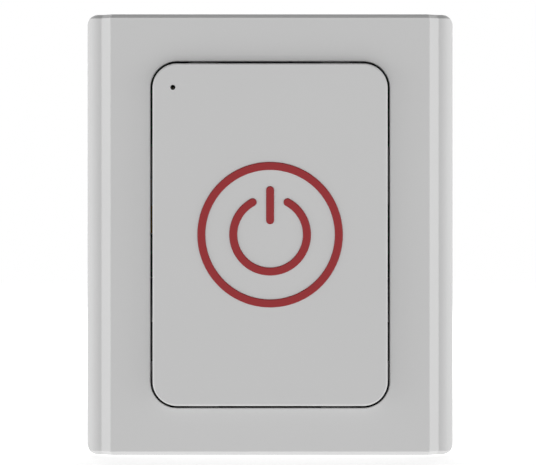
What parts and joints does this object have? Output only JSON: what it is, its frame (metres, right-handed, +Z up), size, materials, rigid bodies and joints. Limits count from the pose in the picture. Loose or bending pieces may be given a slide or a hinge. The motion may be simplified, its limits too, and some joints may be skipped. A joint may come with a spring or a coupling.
{
  "type": "smart button",
  "caption": "Palm-sized wall button: a moulded housing with a large floating press plate and a red power symbol, sliding onto a wall plate.",
  "frame": {"origin": "middle of the flat back face of the wall plate, where it meets the wall", "axes": "+Z up along the taller side, +X to the right as seen from the front, +Y into the wall; the press plate faces -Y"},
  "size_m": [0.05, 0.0203, 0.06],
  "materials": {
    "shell_plastic": "fine moulded texture, satin",
    "plate_plastic": "fine moulded texture, satin",
    "symbol_red": "satin coloured plastic",
    "board_laminate": "solder mask over glass-fibre laminate",
    "radio_laminate": "solder mask over glass-fibre laminate",
    "black_resin": "moulded resin",
    "switch_plastic": "moulded plastic",
    "plunger_plastic": "moulded plastic",
    "tinned_steel": "tinned sheet",
    "spring_steel": "nickel-plated spring sheet",
    "screw_steel": "zinc-plated",
    "yellow_resin": "moulded resin with folded terminals",
    "capacitor_ceramic": "fired ceramic",
    "light_lens": "clear lens",
    "cell_sleeve": "shrunk sleeve over a steel can"
  },
  "bodies": {
    "wall_plate": {"wall_plate": "shell_plastic"},
    "housing": {"front_shell": "shell_plastic", "rear_shell": "shell_plastic", "main_board": "board_laminate", "radio_board": "radio_laminate", "radio_shield": "tinned_steel", "microcontroller": "black_resin", "crystal": "tinned_steel", "reservoir_capacitor": "yellow_resin", "small_capacitors": "capacitor_ceramic", "status_light": "light_lens", "switch_body": "switch_plastic", "switch_cover": "tinned_steel", "switch_dome": "spring_steel", "switch_leads": "tinned_steel", "battery_cell": "cell_sleeve", "battery_contact_positive": "spring_steel", "battery_contact_negative": "spring_steel", "board_screws": "screw_steel", "case_screws": "screw_steel"},
    "button": {"button_plate": "plate_plastic", "symbol_outer_ring": "symbol_red", "symbol_inner_ring": "symbol_red", "symbol_bar": "symbol_red"},
    "plunger": {"switch_plunger": "plunger_plastic"}
  },
  "joints": [
    {"name": "housing_slide", "type": "slide", "parent": "wall_plate", "child": "housing", "axis": [0, 0, 1], "range_m": [0, 0.05]},
    {"name": "button_press", "type": "slide", "parent": "housing", "child": "button", "axis": [0, 1, 0], "range_m": [0, 0.0005], "stiffness_N_per_m": 1500, "springref_m": -0.0001},
    {"name": "plunger_travel", "type": "slide", "parent": "housing", "child": "plunger", "axis": [0, 1, 0], "range_m": [0, 0.0005], "deforming": ["switch_dome"]}
  ],
  "couplings": [
    {"joint": "plunger_travel", "follows": "button_press", "ratio": 1}
  ]
}
